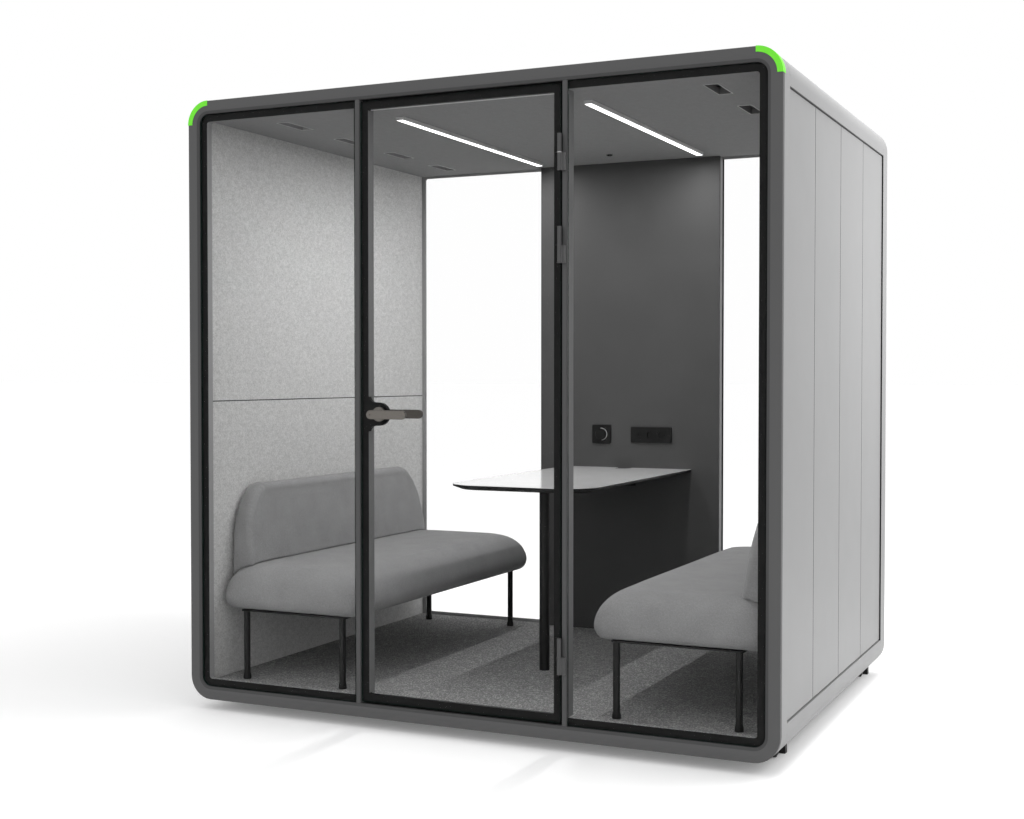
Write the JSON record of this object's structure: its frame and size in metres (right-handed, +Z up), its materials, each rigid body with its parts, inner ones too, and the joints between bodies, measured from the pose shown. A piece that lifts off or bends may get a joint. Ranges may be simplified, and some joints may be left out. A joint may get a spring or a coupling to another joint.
{
  "type": "acoustic office pod",
  "caption": "Freestanding acoustic meeting pod with a rounded shell, glazed front, hinged glass door, table and facing sofas.",
  "frame": {"origin": "middle of the footprint on the floor, with the outer lever counted in the depth", "axes": "+Z up, +Y from the door towards the rear wall, +X to the right as seen from the front"},
  "size_m": [2.252, 1.795, 2.271],
  "materials": {
    "graphite": "satin dark grey powder coat",
    "shell": "satin light grey powder coat",
    "accent": "satin bright green",
    "border": "black",
    "glass": "clear, polished",
    "lining": "dark grey acoustic cloth",
    "carpet": "dark speckled loop pile",
    "ceiling": "grey felt",
    "felt": "mottled grey pressed felt",
    "light": "opal diffuser",
    "control": "black",
    "table_core": "black",
    "table_face": "white laminate",
    "black_steel": "matt black powder coat",
    "upholstery": "mid grey wool upholstery",
    "handle": "brushed dark bronze",
    "wheel": "black"
  },
  "bodies": {
    "pod": {"front_ring": "graphite", "mullion_left": "graphite", "mullion_right": "graphite", "front_band": "shell", "roof_shell": "shell", "floor_pan": "shell", "rear_frame": "shell", "rear_outer_panel": "shell", "plank_left_1": "shell", "plank_left_2": "shell", "plank_left_3": "shell", "plank_left_4": "shell", "plank_right_1": "shell", "plank_right_2": "shell", "plank_right_3": "shell", "plank_right_4": "shell", "accent_left": "accent", "accent_right": "accent", "front_border": "border", "front_glass_left": "glass", "front_glass_right": "glass", "rear_glass_left": "glass", "rear_glass_right": "glass", "rear_inner_panel": "lining", "carpet": "carpet", "ceiling": "ceiling", "felt_left": "felt", "felt_right": "felt", "led_left": "light", "led_right": "light", "control_plate": "control", "socket_plate": "control", "table_top": "table_core", "table_face": "table_face", "table_frame": "black_steel", "sofa_left_base": "black_steel", "sofa_right_base": "black_steel", "foot_front_left": "black_steel", "foot_front_right": "black_steel", "foot_rear_left": "black_steel", "foot_rear_right": "black_steel", "sofa_left_seat": "upholstery", "sofa_right_seat": "upholstery", "sofa_left_back": "upholstery", "sofa_right_back": "upholstery"},
    "door": {"door_glass": "glass", "door_frame": "border", "hinge_leaf_1": "graphite", "hinge_leaf_2": "graphite", "hinge_leaf_3": "graphite", "rose_outer": "handle", "rose_inner": "handle"},
    "lever": {"lever_outer": "handle", "lever_inner": "handle"},
    "latch": {"latch_bolt": "handle"},
    "knob": {"control_knob": "control"},
    "wheel_front_left": {"wheel_front_left": "wheel"},
    "wheel_front_right": {"wheel_front_right": "wheel"},
    "wheel_rear_left": {"wheel_rear_left": "wheel"},
    "wheel_rear_right": {"wheel_rear_right": "wheel"}
  },
  "joints": [
    {"name": "door_hinge", "type": "hinge", "parent": "pod", "child": "door", "pos_m": [0.384, -0.8425, 1.155], "axis": [0, 0, 1], "range_deg": [0, 105]},
    {"name": "lever_turn", "type": "hinge", "parent": "door", "child": "lever", "pos_m": [-0.307, -0.8345, 1.116], "axis": [0, 1, 0], "range_deg": [0, 40], "stiffness_Nm_per_rad": 2, "springref_deg": -45.84},
    {"name": "latch_slide", "type": "slide", "parent": "door", "child": "latch", "axis": [1, 0, 0], "range_m": [0, 0.0121]},
    {"name": "knob_turn", "type": "hinge", "parent": "pod", "child": "knob", "pos_m": [-0.122, 0.8155, 0.988], "axis": [0, 1, 0], "range_deg": [-135, 135]},
    {"name": "wheel_front_left_spin", "type": "hinge", "parent": "pod", "child": "wheel_front_left", "pos_m": [-1.044, -0.5945, 0.019], "axis": [1, 0, 0], "continuous": true},
    {"name": "wheel_front_right_spin", "type": "hinge", "parent": "pod", "child": "wheel_front_right", "pos_m": [1.044, -0.5945, 0.019], "axis": [1, 0, 0], "continuous": true},
    {"name": "wheel_rear_left_spin", "type": "hinge", "parent": "pod", "child": "wheel_rear_left", "pos_m": [-1.044, 0.7855, 0.019], "axis": [1, 0, 0], "continuous": true},
    {"name": "wheel_rear_right_spin", "type": "hinge", "parent": "pod", "child": "wheel_rear_right", "pos_m": [1.044, 0.7855, 0.019], "axis": [1, 0, 0], "continuous": true}
  ],
  "couplings": [
    {"joint": "latch_slide", "follows": "lever_turn", "m_per_rad": 0.017189}
  ]
}
